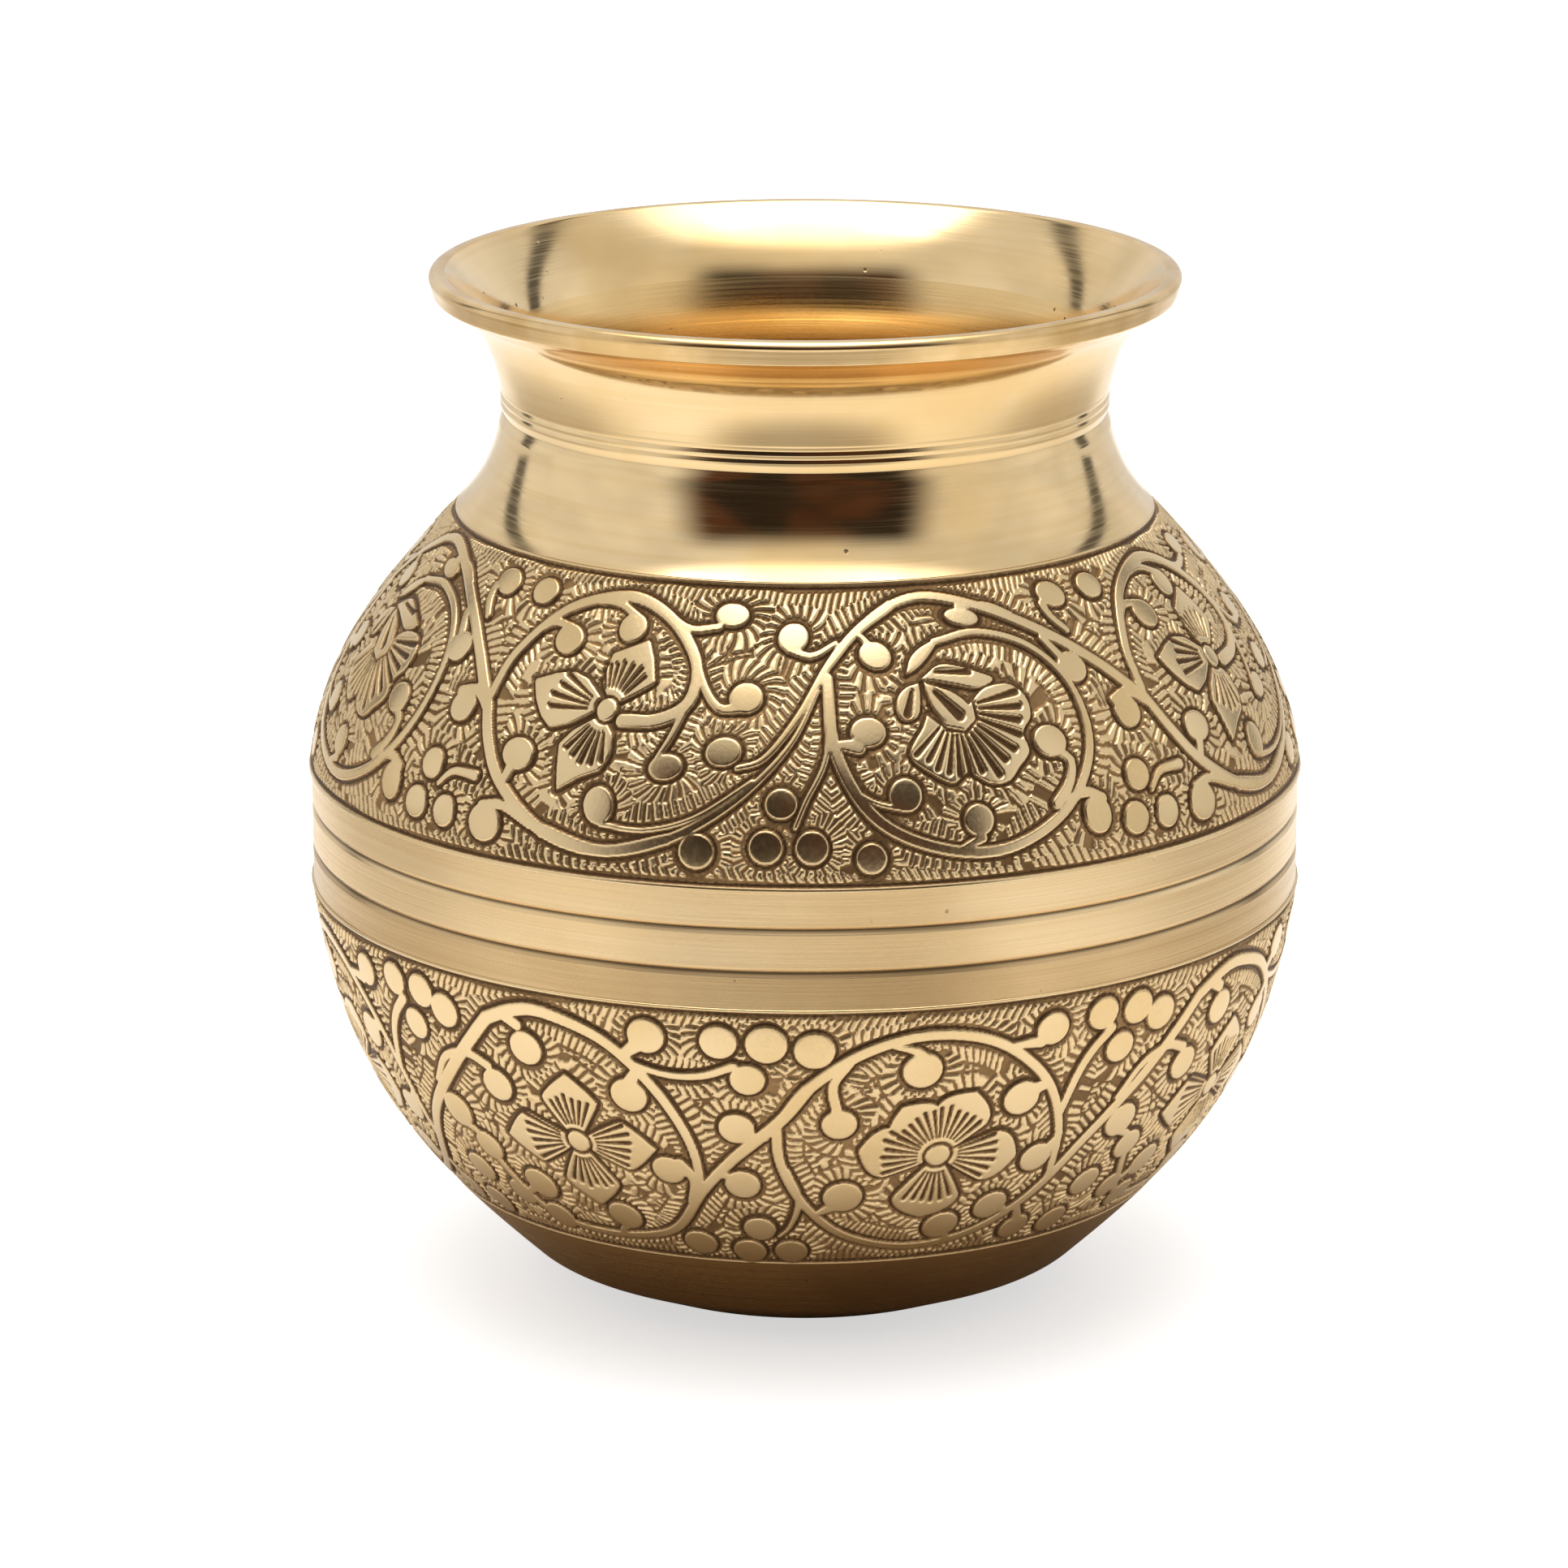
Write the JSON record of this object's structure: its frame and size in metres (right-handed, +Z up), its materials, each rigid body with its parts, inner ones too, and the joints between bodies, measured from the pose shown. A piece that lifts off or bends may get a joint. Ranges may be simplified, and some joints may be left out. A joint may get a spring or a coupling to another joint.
{
  "type": "brass pot",
  "caption": "Round-bellied brass water pot with a flared mouth, waisted neck, two engraved floral bands and a plain belly band; stands on its flat foot.",
  "frame": {"origin": "centre of the flat foot, on the surface that the pot stands on", "axes": "+Z up along the axis of the mouth; the pot is round about Z, so +X and +Y are alike"},
  "size_m": [0.0986, 0.0986, 0.1016],
  "materials": {
    "polished_brass": "mirror polished, with fine turning lines",
    "engraved_brass": "chased and engraved, dark in the cuts, satin on the plain bands",
    "spelter": "as brazed"
  },
  "bodies": {
    "root": {"neck_collar": "polished_brass", "neck_spelter_ring": "spelter", "upper_shell": "engraved_brass", "belly_spelter_ring": "spelter", "lower_shell": "engraved_brass"}
  },
  "joints": []
}
